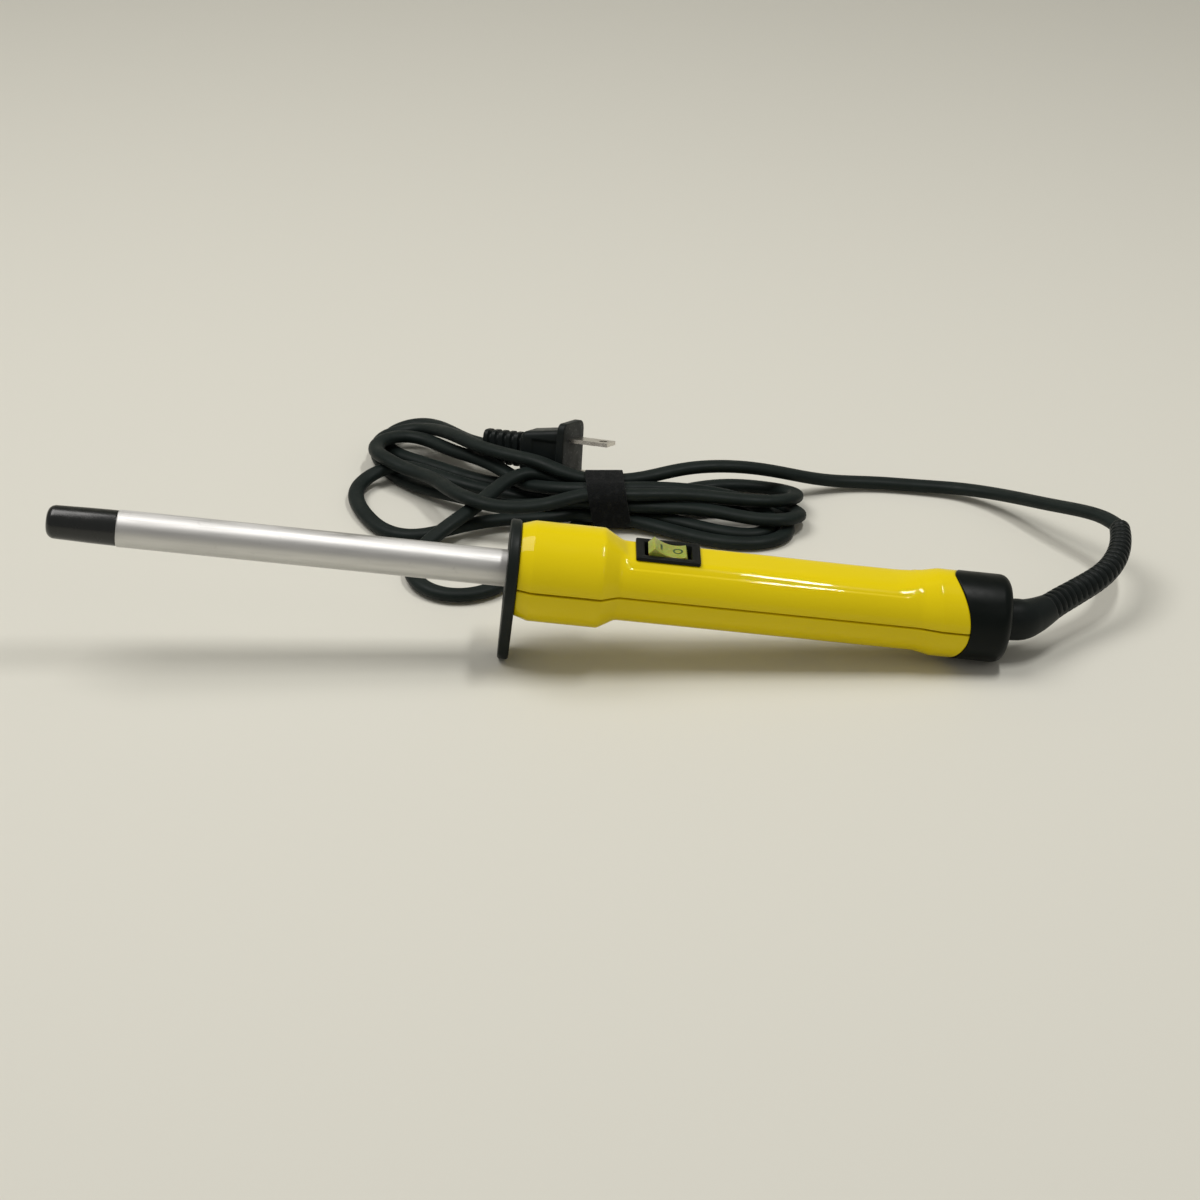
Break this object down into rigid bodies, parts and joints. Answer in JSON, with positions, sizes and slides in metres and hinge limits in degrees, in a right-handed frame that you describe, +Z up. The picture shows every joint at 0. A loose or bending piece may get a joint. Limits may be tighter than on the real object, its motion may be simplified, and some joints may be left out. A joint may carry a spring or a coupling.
{
  "type": "curling wand",
  "caption": "Slim corded curling wand: aluminium barrel with a cool tip, stand guard, split handle with a rocker switch, and a swivelling flat lead tied in a hank.",
  "frame": {"origin": "on the surface that the wand rests on, halfway along the wand without its lead, under the wand's axis", "axes": "+X runs along the wand from the cool tip to the cord end, +Y is across it towards the tied lead, +Z is up"},
  "size_m": [0.3787, 0.203, 0.0574],
  "materials": {
    "barrel_metal": "satin brushed",
    "tip_plastic": "satin gloss, heat resistant",
    "guard_plastic": "satin moulded",
    "shell_yellow": "high gloss",
    "cap_black": "satin moulded",
    "bezel_black": "fine matte",
    "rocker_lime": "translucent gloss",
    "cord_rubber": "matte flexible sheath",
    "boot_rubber": "matte ribbed",
    "plug_rubber": "matte moulded",
    "strap_fabric": "hook-and-loop",
    "blade_metal": "nickel plated",
    "contact_brass": "satin",
    "spring_steel": "satin",
    "zinc_screw": "zinc plated",
    "bush_resin": "phenolic",
    "block_resin": "moulded",
    "core_resin": "moulded nylon",
    "heater_ceramic": "fired",
    "heater_aluminium": "extruded",
    "lamp_glass": "clear",
    "wire_red": "sleeved",
    "wire_white": "sleeved",
    "wire_black": "sleeved",
    "fuse_case": "plated can"
  },
  "bodies": {
    "cord": {"swivel_core": "core_resin", "line_slip_ring": "contact_brass", "neutral_slip_ring": "contact_brass", "cord_boot": "boot_rubber", "cord_lead": "cord_rubber", "loops_tip_side": "cord_rubber", "loops_cord_side": "cord_rubber", "plug_lead": "cord_rubber", "cord_tie": "strap_fabric", "plug_body": "plug_rubber", "plug_blade_wide": "blade_metal", "plug_blade_narrow": "blade_metal"},
    "handle": {"barrel_tube": "barrel_metal", "cool_tip": "tip_plastic", "guard_plate": "guard_plastic", "barrel_bush": "bush_resin", "guard_screws": "zinc_screw", "retaining_ring": "spring_steel", "heat_spreader_upper": "heater_aluminium", "heat_spreader_lower": "heater_aluminium", "ceramic_heater": "heater_ceramic", "heater_spring": "spring_steel", "upper_shell": "shell_yellow", "lower_shell": "shell_yellow", "shell_screws": "zinc_screw", "switch_housing": "bezel_black", "common_terminal": "contact_brass", "load_terminal": "contact_brass", "lamp_terminal": "contact_brass", "pilot_lamp": "lamp_glass", "thermal_fuse": "fuse_case", "crimp_sleeves": "contact_brass", "switch_lead": "wire_red", "heater_lead": "wire_red", "return_lead": "wire_white", "line_lead": "wire_black", "lamp_lead": "wire_white", "end_cap": "cap_black", "brush_block": "block_resin", "line_brush": "contact_brass", "neutral_brush": "contact_brass"},
    "rocker": {"switch_rocker": "rocker_lime", "rocker_plunger": "spring_steel"},
    "contact": {"contact_lever": "contact_brass"}
  },
  "joints": [
    {"name": "cord_swivel", "type": "hinge", "parent": "cord", "child": "handle", "pos_m": [0.13931, 0, 0.01748], "axis": [0.9934, 0, -0.1146], "continuous": true},
    {"name": "switch_rocker_tilt", "type": "hinge", "parent": "handle", "child": "rocker", "pos_m": [0.04736, 0, 0.03976], "axis": [0, -1, 0], "range_deg": [0, 22]},
    {"name": "contact_lever_tilt", "type": "hinge", "parent": "handle", "child": "contact", "pos_m": [0.04634, 0, 0.03092], "axis": [0, -1, 0], "range_deg": [-11, 0]}
  ],
  "couplings": [
    {"joint": "contact_lever_tilt", "follows": "switch_rocker_tilt", "ratio": -0.5}
  ]
}
